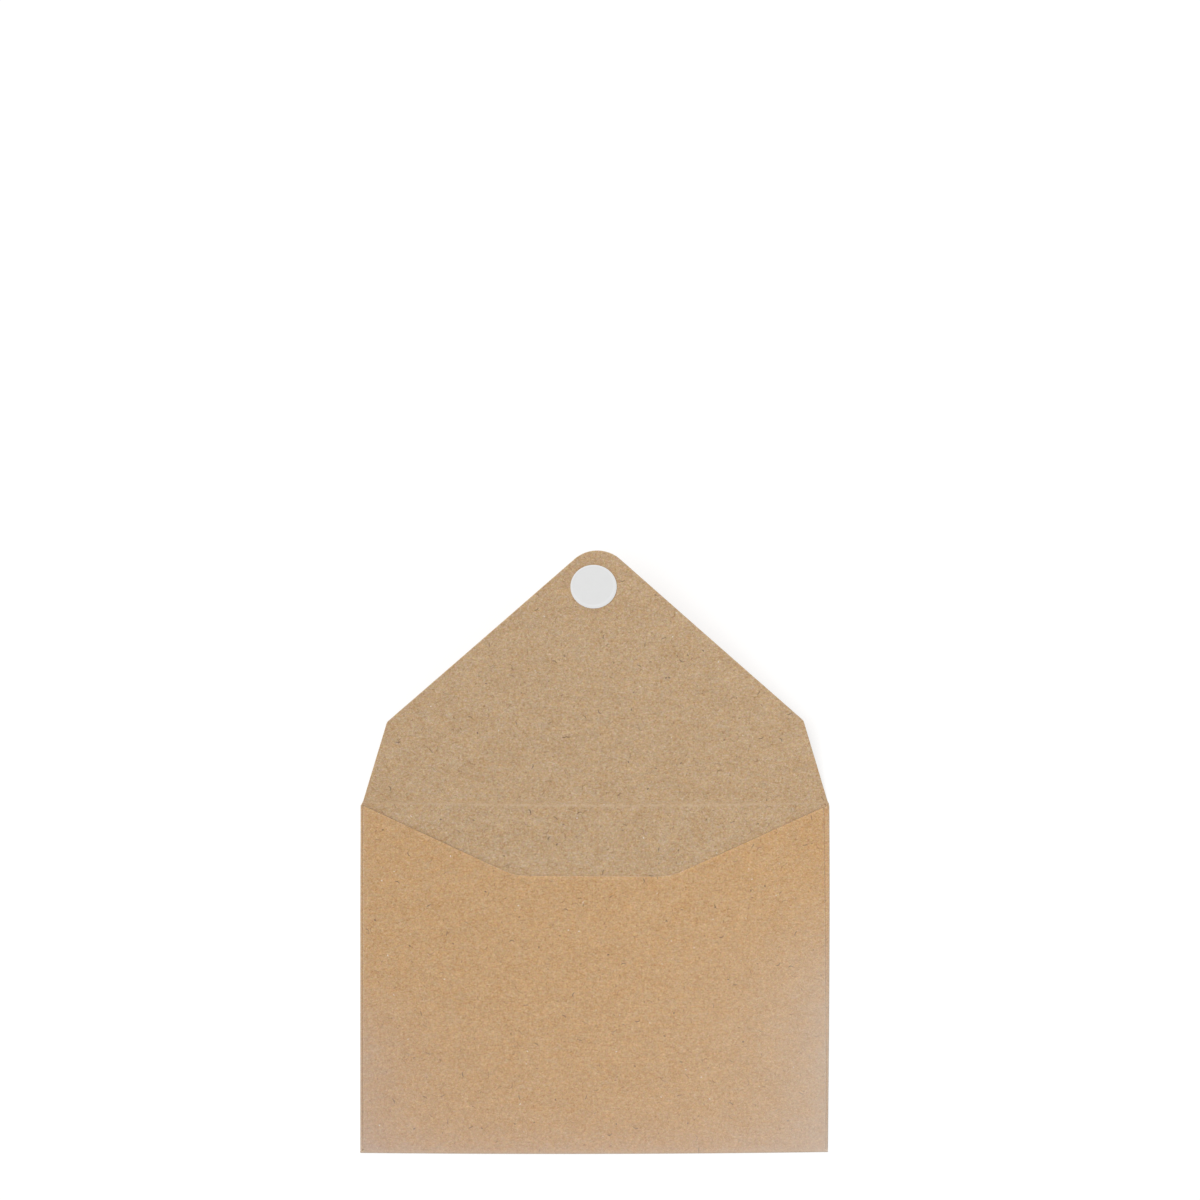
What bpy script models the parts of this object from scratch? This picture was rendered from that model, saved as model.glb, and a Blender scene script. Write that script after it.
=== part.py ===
"""A kraft paper gift envelope: a folded blank with a pointed flap and a peel-off adhesive dot.

Metres, +Z up. The envelope lies on its back panel with the pocket on top and the flap towards +Y,
standing up a little as an opened flap does. The origin is the centre of the back panel's underside.
The blank is one sheet of paper, cut here at its folds into its named panels.
"""

import math

import bmesh
import bpy
from mathutils import Matrix

MM = 0.001

# Sheet thicknesses and the room between layers
PAPER = 0.25 * MM
GLUE_THICKNESS = 0.06 * MM
DOT_THICKNESS = 0.15 * MM
LINER_THICKNESS = 0.10 * MM
CARD_ROOM = 0.30 * MM  # between the back panel and the side flaps, where a card slides in
BOND_GAP = 0.05 * MM  # between an adhesive and the face that it sticks to
FOLD_GAP = 0.05 * MM  # between two panels at the fold that joins them
LAID_GAP = 0.30 * MM  # between the closed flap's liner and the pocket under it

# Body: the back panel and what is folded up over it
BODY_WIDTH = 120.0 * MM
BODY_HEIGHT = 89.5 * MM  # from the bottom fold to the flap's crease

# Pocket panel, folded up from the bottom edge
POCKET_SIDE_INSET = 1.1 * MM  # its side edges lie this far inside the body's
POCKET_FLARE = 2.5 * MM  # height over which it widens to the bottom fold
POCKET_TOP_DROP = 0.3 * MM  # its top corners lie this far below the crease
POCKET_CORNER_RADIUS = 0.6 * MM
THROAT_DEPTH = 18.4 * MM  # from the crease down to the flat middle of the mouth
THROAT_FLAT_WIDTH = 37.5 * MM
THROAT_RADIUS = 14.0 * MM

# Side flaps, folded in from the side edges and glued under the pocket panel
SIDE_FLAP_WIDTH = 18.0 * MM
SIDE_FLAP_TOP_HIDDEN = 1.0 * MM  # below the pocket's edge at the side fold
SIDE_FLAP_TOP_STEEPER = math.radians(15)  # steeper than the mouth's slope
SIDE_FLAP_FOOT_RISE = 1.2 * MM  # above the bottom fold
SIDE_FLAP_FOOT_ANGLE = math.radians(12)
SIDE_FLAP_CORNER_RADIUS = 5.0 * MM
GLUE_EDGE_MARGIN = 3.5 * MM  # bare paper round each glue seam

# Closing flap, measured along its own face from the crease
FLAP_LENGTH = 69.0 * MM
FLAP_BASE_INSET = 0.6 * MM  # its corners at the crease lie this far inside the body's edges
FLAP_SHOULDER_RISE = 22.4 * MM
FLAP_SHOULDER_INSET = 6.9 * MM  # inside the body's edges
FLAP_SHOULDER_RADIUS = 1.5 * MM
FLAP_TIP_RADIUS = 8.4 * MM
FLAP_REST_ANGLE = math.radians(20.6)  # how far the open flap stands up from the table
CREASE_REACH = 0.6 * MM  # pressed paper on each side of the crease line

# White liner near the flap's tip, and the adhesive dot that it covers
LINER_DIAMETER = 11.75 * MM
LINER_TIP_MARGIN = 3.9 * MM  # from the liner's edge to the flap's tip
DOT_INSET = 0.3 * MM  # the dot's edge inside the liner's

# Steps that round shapes are drawn with
FOLD_STEPS = 12
CORNER_STEPS = 8
TIP_STEPS = 24
DISC_STEPS = 64
CREASE_STEPS = 4

# Heights of the layers, from the table up
BACK_TOP = PAPER
SIDE_FLAP_BOTTOM = BACK_TOP + CARD_ROOM
SIDE_FLAP_TOP = SIDE_FLAP_BOTTOM + PAPER
GLUE_BOTTOM = SIDE_FLAP_TOP + BOND_GAP
GLUE_TOP = GLUE_BOTTOM + GLUE_THICKNESS
POCKET_BOTTOM = GLUE_TOP + BOND_GAP
POCKET_TOP = POCKET_BOTTOM + PAPER

# The crease bends over the whole stack, so its axis lies halfway up to the closed flap's outer face
DOT_STACK = BOND_GAP + DOT_THICKNESS + BOND_GAP + LINER_THICKNESS
CLOSED_FLAP_TOP = POCKET_TOP + LAID_GAP + DOT_STACK + PAPER
AXIS_HEIGHT = CLOSED_FLAP_TOP / 2

# Body outline
HALF_WIDTH = BODY_WIDTH / 2
BOTTOM_Y = -BODY_HEIGHT / 2
CREASE_Y = BODY_HEIGHT / 2
SIDE_FOLD_RADIUS = SIDE_FLAP_TOP / 2
BOTTOM_FOLD_RADIUS = POCKET_TOP / 2
SIDE_FOLD_X = HALF_WIDTH - SIDE_FOLD_RADIUS
BOTTOM_FOLD_Y = BOTTOM_Y + BOTTOM_FOLD_RADIUS
POCKET_HALF_WIDTH = HALF_WIDTH - POCKET_SIDE_INSET
POCKET_CORNER_Y = CREASE_Y - POCKET_TOP_DROP
THROAT_Y = CREASE_Y - THROAT_DEPTH
THROAT_RUN = POCKET_HALF_WIDTH - THROAT_FLAT_WIDTH / 2
THROAT_ANGLE = math.atan2(POCKET_CORNER_Y - THROAT_Y, THROAT_RUN)

KRAFT_INSIDE = (0.509, 0.352, 0.212)
KRAFT_OUTSIDE = (0.546, 0.353, 0.190)
ADHESIVE_CLEAR = (0.80, 0.80, 0.76)
LINER_WHITE = (0.76, 0.77, 0.77)
GLUE_PALE = (0.62, 0.52, 0.36)
PAPER_ROUGHNESS = 0.85
GLUE_ROUGHNESS = 0.45
ADHESIVE_ROUGHNESS = 0.25
LINER_ROUGHNESS = 0.5
SMOOTH_BELOW = math.radians(35)


def clear_scene():
    for old in list(bpy.data.objects):
        bpy.data.objects.remove(old, do_unlink=True)


def finish_material(name, colour, roughness):
    material = bpy.data.materials.new(name)
    material.use_nodes = True
    shader = material.node_tree.nodes["Principled BSDF"]
    shader.inputs["Base Color"].default_value = (*colour, 1.0)
    shader.inputs["Roughness"].default_value = roughness
    shader.inputs["Metallic"].default_value = 0.0
    return material


def arc(centre, radius, start, end, steps):
    """Points round a circle from one angle to another, both ends included."""
    points = []
    for step in range(steps + 1):
        angle = start + (end - start) * step / steps
        points.append((centre[0] + radius * math.cos(angle), centre[1] + radius * math.sin(angle)))
    return points


def rounded(corners):
    """An outline from (x, y, radius) corners, each radius above zero drawn as an arc."""
    outline = []
    for index, (x, y, radius) in enumerate(corners):
        if radius <= 0:
            outline.append((x, y))
            continue
        before = corners[index - 1]
        after = corners[(index + 1) % len(corners)]
        to_before = math.atan2(before[1] - y, before[0] - x)
        to_after = math.atan2(after[1] - y, after[0] - x)
        opening = (to_before - to_after) % (2 * math.pi)
        side = 1 if opening < math.pi else -1
        half = opening / 2 if side > 0 else math.pi - opening / 2
        middle = to_after + side * half
        reach = radius / math.sin(half)
        centre = (x + reach * math.cos(middle), y + reach * math.sin(middle))
        sweep = math.pi - 2 * half
        facing = middle + math.pi
        start = facing - side * sweep / 2
        outline += arc(centre, radius, start, start + side * sweep, CORNER_STEPS)
    return outline


def mirrored(right_side):
    """A whole outline from its right half, listed from the foot up and ending at the middle line."""
    left_side = [(-x, *rest) for x, *rest in reversed(right_side) if x > 0]
    return right_side + left_side


def prism(name, outline, low, high, colour, roughness, place=None, parent=None):
    """One closed solid: a flat outline in the piece's own XY plane, between two heights."""
    shape = bmesh.new()
    lower = [shape.verts.new((x, y, low)) for x, y in outline]
    upper = [shape.verts.new((x, y, high)) for x, y in outline]
    shape.faces.new(list(reversed(lower)))
    shape.faces.new(upper)
    for index in range(len(outline)):
        follow = (index + 1) % len(outline)
        shape.faces.new((lower[index], lower[follow], upper[follow], upper[index]))
    bmesh.ops.recalc_face_normals(shape, faces=shape.faces)
    mesh = bpy.data.meshes.new(name)
    shape.to_mesh(mesh)
    shape.free()
    mesh.shade_smooth()
    mesh.set_sharp_from_angle(angle=SMOOTH_BELOW)
    mesh.materials.append(finish_material(name, colour, roughness))
    piece = bpy.data.objects.new(name, mesh)
    bpy.context.collection.objects.link(piece)
    piece.parent = parent
    if place is not None:
        piece.matrix_local = place
    return piece


def upright(x, y, z, heading):
    """Stands a section on edge, its own X towards the heading and its own Y up."""
    return Matrix.Translation((x, y, z)) @ Matrix.Rotation(heading, 4, "Z") @ Matrix.Rotation(math.pi / 2, 4, "X")


def fold_section(radius):
    """A half round of paper about the section's origin, bulging towards its own +X."""
    quarter = math.pi / 2
    outer = arc((0, 0), radius, -quarter, quarter, FOLD_STEPS)
    inner = arc((0, 0), radius - PAPER, quarter, -quarter, FOLD_STEPS)
    return outer + inner


def back_panel():
    half = SIDE_FOLD_X - FOLD_GAP
    foot = BOTTOM_FOLD_Y + FOLD_GAP
    head = CREASE_Y - CREASE_REACH - FOLD_GAP
    outline = [(-half, foot), (half, foot), (half, head), (-half, head)]
    prism("back_panel", outline, 0, BACK_TOP, KRAFT_INSIDE, PAPER_ROUGHNESS)


def bottom_fold():
    place = upright(0, BOTTOM_FOLD_Y, BOTTOM_FOLD_RADIUS, -math.pi / 2)
    section = fold_section(BOTTOM_FOLD_RADIUS)
    prism("bottom_fold", section, -HALF_WIDTH, HALF_WIDTH, KRAFT_OUTSIDE, PAPER_ROUGHNESS, place)


def pocket_panel():
    foot = BOTTOM_FOLD_Y + FOLD_GAP
    right_side = [
        (HALF_WIDTH, foot, 0),
        (POCKET_HALF_WIDTH, foot + POCKET_FLARE, 0),
        (POCKET_HALF_WIDTH, POCKET_CORNER_Y, POCKET_CORNER_RADIUS),
        (THROAT_FLAT_WIDTH / 2, THROAT_Y, THROAT_RADIUS),
    ]
    outline = rounded(mirrored(right_side))
    prism("pocket_panel", outline, POCKET_BOTTOM, POCKET_TOP, KRAFT_OUTSIDE, PAPER_ROUGHNESS)


def side_fold_ends():
    """Y of a side fold's foot, just clear of the bottom fold, and of its head at the crease."""
    return BOTTOM_FOLD_Y + FOLD_GAP, CREASE_Y


def side_flap_heights():
    """Y of a side flap's four corners: foot and head at its fold, then at its inner edge."""
    fold_foot = BOTTOM_FOLD_Y + SIDE_FLAP_FOOT_RISE
    fold_head = POCKET_CORNER_Y - SIDE_FLAP_TOP_HIDDEN
    inner_foot = fold_foot + SIDE_FLAP_WIDTH * math.tan(SIDE_FLAP_FOOT_ANGLE)
    inner_head = fold_head - SIDE_FLAP_WIDTH * math.tan(THROAT_ANGLE + SIDE_FLAP_TOP_STEEPER)
    return fold_foot, fold_head, inner_foot, inner_head


def side_pieces(side, sign):
    """The side fold, the flap that it turns in and the glue on that flap, on one side."""
    foot, head = side_fold_ends()
    half_length = (head - foot) / 2
    heading = 0 if sign > 0 else math.pi
    place = upright(sign * SIDE_FOLD_X, (head + foot) / 2, SIDE_FOLD_RADIUS, heading)
    section = fold_section(SIDE_FOLD_RADIUS)
    prism(f"{side}_side_fold", section, -half_length, half_length, KRAFT_OUTSIDE, PAPER_ROUGHNESS, place)

    fold_foot, fold_head, inner_foot, inner_head = side_flap_heights()
    outer_x = SIDE_FOLD_X - FOLD_GAP
    inner_x = SIDE_FOLD_X - SIDE_FLAP_WIDTH
    corners = [
        (sign * outer_x, fold_foot, 0),
        (sign * outer_x, fold_head, 0),
        (sign * inner_x, inner_head, SIDE_FLAP_CORNER_RADIUS),
        (sign * inner_x, inner_foot, SIDE_FLAP_CORNER_RADIUS),
    ]
    outline = rounded(corners if sign > 0 else list(reversed(corners)))
    flap_name = f"{side}_side_flap"
    prism(flap_name, outline, SIDE_FLAP_BOTTOM, SIDE_FLAP_TOP, KRAFT_OUTSIDE, PAPER_ROUGHNESS)

    seam_width = SIDE_FLAP_WIDTH - 2 * GLUE_EDGE_MARGIN
    seam_x = sign * (inner_x + SIDE_FLAP_WIDTH / 2)
    seam_foot = inner_foot + GLUE_EDGE_MARGIN
    seam_head = inner_head - GLUE_EDGE_MARGIN
    end_radius = seam_width / 2
    upper_end = arc((seam_x, seam_head - end_radius), end_radius, 0, math.pi, TIP_STEPS)
    lower_end = arc((seam_x, seam_foot + end_radius), end_radius, math.pi, 2 * math.pi, TIP_STEPS)
    seam_name = f"{side}_glue_seam"
    prism(seam_name, upper_end + lower_end, GLUE_BOTTOM, GLUE_TOP, GLUE_PALE, GLUE_ROUGHNESS)


def flap_axis():
    """The line that the closing flap turns about, tilted with the flap as it rests."""
    axis = bpy.data.objects.new("flap_axis", None)
    bpy.context.collection.objects.link(axis)
    axis.location = (0, CREASE_Y, AXIS_HEIGHT)
    axis.rotation_euler = (FLAP_REST_ANGLE, 0, 0)
    return axis


def crease_section():
    """The bent paper at the crease, about the flap's axis: flat, round the bend, then up the flap."""
    reach = CREASE_REACH - FOLD_GAP
    down = -math.pi / 2
    up_flap = (math.cos(FLAP_REST_ANGLE) * reach, math.sin(FLAP_REST_ANGLE) * reach)
    outer = arc((0, 0), AXIS_HEIGHT, down, down + FLAP_REST_ANGLE, CREASE_STEPS)
    inner = arc((0, 0), AXIS_HEIGHT - PAPER, down + FLAP_REST_ANGLE, down, CREASE_STEPS)
    outer_end = (outer[-1][0] + up_flap[0], outer[-1][1] + up_flap[1])
    inner_end = (inner[0][0] + up_flap[0], inner[0][1] + up_flap[1])
    outer_start = (-reach, -AXIS_HEIGHT)
    inner_start = (-reach, PAPER - AXIS_HEIGHT)
    return [outer_start, *outer, outer_end, inner_end, *inner, inner_start]


def flap_crease():
    half = HALF_WIDTH - FLAP_BASE_INSET
    place = upright(0, CREASE_Y, AXIS_HEIGHT, math.pi / 2)
    prism("flap_crease", crease_section(), -half, half, KRAFT_INSIDE, PAPER_ROUGHNESS, place)


def closing_flap(axis):
    """Both edges run straight from the crease to the shoulders, then touch the round tip."""
    base = (HALF_WIDTH - FLAP_BASE_INSET, CREASE_REACH, 0)
    shoulder = (HALF_WIDTH - FLAP_SHOULDER_INSET, FLAP_SHOULDER_RISE)
    tip_centre_y = FLAP_LENGTH - FLAP_TIP_RADIUS
    distance = math.hypot(shoulder[0], tip_centre_y - shoulder[1])
    to_shoulder = math.atan2(shoulder[1] - tip_centre_y, shoulder[0])
    touch = to_shoulder + math.acos(FLAP_TIP_RADIUS / distance)
    tip = [(x, y, 0) for x, y in arc((0, tip_centre_y), FLAP_TIP_RADIUS, touch, math.pi - touch, TIP_STEPS)]
    left_shoulder = (-shoulder[0], shoulder[1], FLAP_SHOULDER_RADIUS)
    left_base = (-base[0], base[1], 0)
    corners = [base, (*shoulder, FLAP_SHOULDER_RADIUS), *tip, left_shoulder, left_base]
    face = PAPER - AXIS_HEIGHT
    prism("closing_flap", rounded(corners), -AXIS_HEIGHT, face, KRAFT_INSIDE, PAPER_ROUGHNESS, None, axis)


def dot_and_liner(axis):
    """Two discs on the flap's inner face, which looks up while the flap is open."""
    centre_y = FLAP_LENGTH - LINER_TIP_MARGIN - LINER_DIAMETER / 2
    place = Matrix.Translation((0, centre_y, 0))
    face = PAPER - AXIS_HEIGHT
    dot_low = face + BOND_GAP
    dot_high = dot_low + DOT_THICKNESS
    liner_low = dot_high + BOND_GAP
    liner_high = liner_low + LINER_THICKNESS
    dot_outline = disc(LINER_DIAMETER / 2 - DOT_INSET)
    liner_outline = disc(LINER_DIAMETER / 2)
    prism("adhesive_dot", dot_outline, dot_low, dot_high, ADHESIVE_CLEAR, ADHESIVE_ROUGHNESS, place, axis)
    prism("release_liner", liner_outline, liner_low, liner_high, LINER_WHITE, LINER_ROUGHNESS, place, axis)


def disc(radius):
    full_turn = 2 * math.pi
    return arc((0, 0), radius, 0, full_turn * (1 - 1 / DISC_STEPS), DISC_STEPS - 1)


def main():
    clear_scene()
    back_panel()
    bottom_fold()
    pocket_panel()
    side_pieces("left", -1)
    side_pieces("right", 1)
    flap_crease()
    axis = flap_axis()
    closing_flap(axis)
    dot_and_liner(axis)


main()
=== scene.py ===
"""Looks for a small kraft paper envelope that lies open with its pointed flap raised towards +Y.

The envelope is one folded sheet. Each panel and fold is a piece of that sheet, drawn flat with softly
rounded cut edges and then laid or bent into place, so neighbouring pieces meet edge to edge. A UV map
named "blank" holds where each point was on the flat sheet, so the fibres run on over the folds.
"""
import math

import bmesh
import bpy
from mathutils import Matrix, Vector

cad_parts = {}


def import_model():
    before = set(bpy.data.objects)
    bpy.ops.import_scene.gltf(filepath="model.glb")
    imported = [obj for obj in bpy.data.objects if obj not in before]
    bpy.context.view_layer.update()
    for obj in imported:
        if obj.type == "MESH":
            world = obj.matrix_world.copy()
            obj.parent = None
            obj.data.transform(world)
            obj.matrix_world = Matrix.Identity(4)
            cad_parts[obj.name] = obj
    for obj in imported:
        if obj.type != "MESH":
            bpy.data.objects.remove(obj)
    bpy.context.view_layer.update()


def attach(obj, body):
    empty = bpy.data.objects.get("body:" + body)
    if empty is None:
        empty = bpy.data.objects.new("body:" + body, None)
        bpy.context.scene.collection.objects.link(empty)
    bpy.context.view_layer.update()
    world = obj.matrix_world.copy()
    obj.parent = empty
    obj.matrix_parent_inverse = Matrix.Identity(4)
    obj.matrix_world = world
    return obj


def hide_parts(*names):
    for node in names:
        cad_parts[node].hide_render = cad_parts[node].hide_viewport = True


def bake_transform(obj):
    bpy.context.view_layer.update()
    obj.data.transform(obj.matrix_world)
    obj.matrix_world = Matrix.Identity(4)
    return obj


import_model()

MM = 0.001

# The sheet and its cut edges
PAPER = 0.25 * MM
EDGE_ROUND = 0.11 * MM
EDGE_STEPS = 3
EDGE_SUPPORT = 0.16 * MM
SURFACE_STEP = 3.0 * MM
CORNER_STEP = 0.35 * MM
CORNER_STEPS_LEAST = 6
CORNER_STEPS_MOST = 32
SAME_PLACE = 1e-7
SAME_LINE = 1e-6
SHARP_FROM = math.radians(40)

# Body, between the bottom fold and the flap's crease
HALF_WIDTH = 60.0 * MM
CREASE_Y = 44.75 * MM
BOTTOM_Y = -44.75 * MM
CREASE_FOOT = 0.35 * MM
CREASE_HEAD = 0.6 * MM

# Heights of the layers of an empty envelope that is pressed flat
SIDE_FLAP_BASE = 0.28 * MM
SEAM_BASE = 0.535 * MM
SEAM_THICKNESS = 0.03 * MM
POCKET_BASE = 0.57 * MM
SIDE_FOLD_RADIUS = (SIDE_FLAP_BASE + PAPER) / 2
BOTTOM_FOLD_RADIUS = (POCKET_BASE + PAPER) / 2
FOLD_LEAD = 0.3 * MM
FOLD_STEPS = 14
FOLD_LEAD_STEPS = 4
FOLD_SWELL = 0.14 * MM
FOLD_SWELL_FOOT = 0.21 * MM
SWELL_CREST = 0.5
SWELL_FALL = 2.0
SWELL_FALL_LOSS = 1.6
CORNER_GAP = 0.03 * MM
CORNER_REACH = 1.0 * MM
SIDE_FOLD_X = HALF_WIDTH - SIDE_FOLD_RADIUS
BOTTOM_FOLD_Y = BOTTOM_Y + BOTTOM_FOLD_RADIUS
BODY_X = SIDE_FOLD_X - FOLD_LEAD
BODY_FOOT = BOTTOM_FOLD_Y + FOLD_LEAD
BODY_HEAD = CREASE_Y - CREASE_FOOT

# The folds are not quite true: the right one tapers in and bows, the left one flares, the lower one bows
RIGHT_INSET = 0.15 * MM
RIGHT_TAPER = 0.35 * MM
RIGHT_BOW = 0.20 * MM
RIGHT_BOW_SKEW = 0.8
LEFT_FLARE = 0.13 * MM
LEFT_HEAD_SHARE = 0.4
LEFT_PACE = 3
BOTTOM_RISE = 0.33 * MM
BOTTOM_TILT = 0.115 * MM
BOTTOM_BOW = 0.37 * MM

# Mouth of the pocket
MOUTH_LEFT = (-20.60 * MM, 26.40 * MM)
MOUTH_RIGHT = (19.18 * MM, 26.12 * MM)
MOUTH_RADIUS = 14.0 * MM
POCKET_LEFT_X = -59.30 * MM
POCKET_RIGHT_X = 58.58 * MM
POCKET_LEFT_FOOT_X = -59.15 * MM
POCKET_RIGHT_FOOT_X = 59.38 * MM
POCKET_LEFT_Y = 44.41 * MM
POCKET_RIGHT_Y = 44.02 * MM
POCKET_CORNER_RADIUS = 0.3 * MM

# Sag of the pocket behind its mouth. It fades out over the side flaps, and under the left slope.
LIP_SAG = 0.26 * MM
SAG_REACH = 62.0 * MM
SAG_REACH_HELD = 3.0 * MM
HELD_FROM_X = 22.0 * MM
HELD_RAMP = 18.0 * MM
SAG_LEFT_X = 6.0 * MM
SAG_LEFT_RAMP = 32.0 * MM
SAG_RIGHT_X = 34.0 * MM
SAG_RIGHT_RAMP = 22.0 * MM
SAG_RIGHT_LOSS = 0.9

# Side flaps under the pocket, and the glue on them
SIDE_FLAP_INNER_X = 41.5 * MM
SIDE_FLAP_FOOT = -43.95 * MM
SIDE_FLAP_INNER_FOOT = -39.0 * MM
SIDE_FLAP_HEAD = 44.3 * MM
SIDE_FLAP_INNER_HEAD = 28.9 * MM
SIDE_FLAP_RADIUS = 5.0 * MM
SEAM_X = 50.5 * MM
SEAM_HALF_WIDTH = 5.5 * MM
SEAM_FOOT = -35.5 * MM
SEAM_HEAD = 25.4 * MM
SEAM_RAGGED = 0.35 * MM
SEAM_WAVE = 2.1 * MM
SEAM_SLOW_WAVE = 5.3 * MM
SEAM_END_ROUND = 0.98
SEAM_STEP = 1.0 * MM

# Closing flap, measured up its own face from the axis that it turns about
AXIS_HEIGHT = 1.055 * MM
FLAP_REST_ANGLE = math.radians(20.6)
FLAP_BASE_X = 59.35 * MM
SHOULDER_LEFT = (-53.08 * MM, 22.2 * MM)
SHOULDER_RIGHT = (53.06 * MM, 22.6 * MM)
SHOULDER_RADIUS = 1.5 * MM
APEX_X = 0.54 * MM
APEX_RISE = 71.8 * MM
TIP_RADIUS = 8.4 * MM
FLAP_LENGTH = 69.0 * MM
FLAP_CUP = 0.3 * MM
CUP_MEAN = 0.7
CUP_SWING = 0.3

# Crease between back panel and flap, with its pressed bead
CREASE_ARC = FLAP_REST_ANGLE * (AXIS_HEIGHT - PAPER / 2)
CREASE_FLARE_X = 59.95 * MM
CREASE_STEP = 0.13 * MM
CREASE_ROWS = 7
CREASE_SPREAD = 2.2
BEAD_HEIGHT = 0.03 * MM
BEAD_HALF_WIDTH = 0.6 * MM
BEAD_LOW = -0.53 * MM
BEAD_BOW = 0.00034 / MM
BEAD_MIDDLE_X = 4.0 * MM

# Adhesive dot and its liner, in millimetres of radius and height above the flap's inner face
DOT_CENTRE_X = -0.42 * MM
DOT_CENTRE_RISE = 59.11 * MM
DISC_STEPS = 128
DOT_PROFILE = [
    (0, 0.005), (5.42, 0.005), (5.53, 0.03), (5.58, 0.08), (5.54, 0.13), (5.44, 0.15), (5.1, 0.155),
    (0, 0.155),
]
LINER_PROFILE = [
    (0, 0.17), (5.1, 0.17), (5.70, 0.15), (5.83, 0.16), (5.875, 0.20), (5.84, 0.245), (5.74, 0.265),
    (5.50, 0.28), (5.30, 0.285), (5.20, 0.275), (5.14, 0.262), (5.06, 0.258), (4.9, 0.262),
    (4.4, 0.268), (0, 0.268),
]
LINER_PLATEAU_SHIFT = (-0.10 * MM, 0.14 * MM)
LINER_PLATEAU_FOOT = 5.75 * MM
LINER_PLATEAU_RAMP = 0.6 * MM

# Camera, straight above
CAMERA_X = 1.2 * MM
CAMERA_Y = 96.9 * MM
CAMERA_DISTANCE = 2.0
FRAME_WIDTH = 307.06 * MM
SENSOR = 36.0


# Outlines

def edge_normal(first, second):
    along = (second - first).normalized()
    return Vector((-along.y, along.x))


def corner_arc(before, point, after, radius, steps):
    """Points that round off one corner of an outline."""
    to_before = (before - point).normalized()
    to_after = (after - point).normalized()
    half = to_before.angle(to_after) / 2
    centre = point + (to_before + to_after).normalized() * (radius / math.sin(half))
    start = point + to_before * (radius / math.tan(half)) - centre
    end = point + to_after * (radius / math.tan(half)) - centre
    start_angle = math.atan2(start.y, start.x)
    turn = (math.atan2(end.y, end.x) - start_angle + math.pi) % (2 * math.pi) - math.pi
    points = []
    for step in range(steps + 1):
        angle = start_angle + turn * step / steps
        points.append(centre + radius * Vector((math.cos(angle), math.sin(angle))))
    return points


def rounded(corners):
    """An anticlockwise outline from (x, y, radius, next edge is cut), and which of its edges are cut."""
    points = []
    cut = []
    for index, (x, y, radius, next_cut) in enumerate(corners):
        here = Vector((x, y))
        if radius <= 0:
            points.append(here)
            cut.append(next_cut)
            continue
        before = Vector(corners[index - 1][:2])
        after = Vector(corners[(index + 1) % len(corners)][:2])
        steps = min(max(CORNER_STEPS_LEAST, round(radius / CORNER_STEP)), CORNER_STEPS_MOST)
        arc = corner_arc(before, here, after, radius, steps)
        points += arc
        cut += [True] * (len(arc) - 1) + [next_cut]
    return points, cut


def drawn_in(points, cut, inset):
    """The outline moved inwards along its cut edges only."""
    moved = []
    for index, point in enumerate(points):
        after = points[(index + 1) % len(points)]
        normal_in = edge_normal(points[index - 1], point)
        normal_out = edge_normal(point, after)
        inset_in = inset if cut[index - 1] else 0.0
        inset_out = inset if cut[index] else 0.0
        cosine = normal_in.dot(normal_out)
        spare = 1 - cosine * cosine
        if spare < SAME_LINE:
            moved.append(point + normal_out * max(inset_in, inset_out))
            continue
        share_in = (inset_in - cosine * inset_out) / spare
        share_out = (inset_out - cosine * inset_in) / spare
        moved.append(point + normal_in * share_in + normal_out * share_out)
    return moved


def steps_between(low, high, step):
    """Evenly spread places strictly between two values."""
    count = max(1, math.ceil((high - low) / step))
    return [low + (high - low) * index / count for index in range(1, count)]


# Sheets

def edge_profile():
    """Inset and height of each ring round a sheet's edge, from its lower face to its upper one."""
    lower = []
    for step in range(EDGE_STEPS + 1):
        angle = math.pi / 2 * step / EDGE_STEPS
        lower.append((EDGE_ROUND * (1 - math.sin(angle)), EDGE_ROUND * (1 - math.cos(angle))))
    lower.insert(0, (EDGE_ROUND + EDGE_SUPPORT, 0.0))
    return lower


def add_rings(shape, rings):
    """Closes a stack of equal rings into a solid."""
    made = [[shape.verts.new(point) for point in ring] for ring in rings]
    shape.faces.new(list(reversed(made[0])))
    shape.faces.new(made[-1])
    count = len(made[0])
    for low, high in zip(made, made[1:]):
        for index in range(count):
            follow = (index + 1) % count
            shape.faces.new((low[index], low[follow], high[follow], high[index]))


def slice_at(shape, places, axis):
    """Cuts the flat sheet along lines, so that it can bend there."""
    normal = Vector((1, 0, 0)) if axis == 0 else Vector((0, 1, 0))
    for place in places:
        all_of_it = shape.verts[:] + shape.edges[:] + shape.faces[:]
        point = normal * place
        bmesh.ops.bisect_plane(shape, geom=all_of_it, dist=SAME_PLACE, plane_co=point, plane_no=normal)


def finish_mesh(name, shape, materials):
    bmesh.ops.recalc_face_normals(shape, faces=shape.faces)
    if shape.calc_volume(signed=True) < 0:
        bmesh.ops.reverse_faces(shape, faces=shape.faces)
    mesh = bpy.data.meshes.new(name)
    shape.to_mesh(mesh)
    shape.free()
    for material in materials:
        mesh.materials.append(material)
    mesh.shade_smooth()
    mesh.set_sharp_from_angle(angle=SHARP_FROM)
    piece = bpy.data.objects.new(name, mesh)
    bpy.context.scene.collection.objects.link(piece)
    return piece


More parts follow.
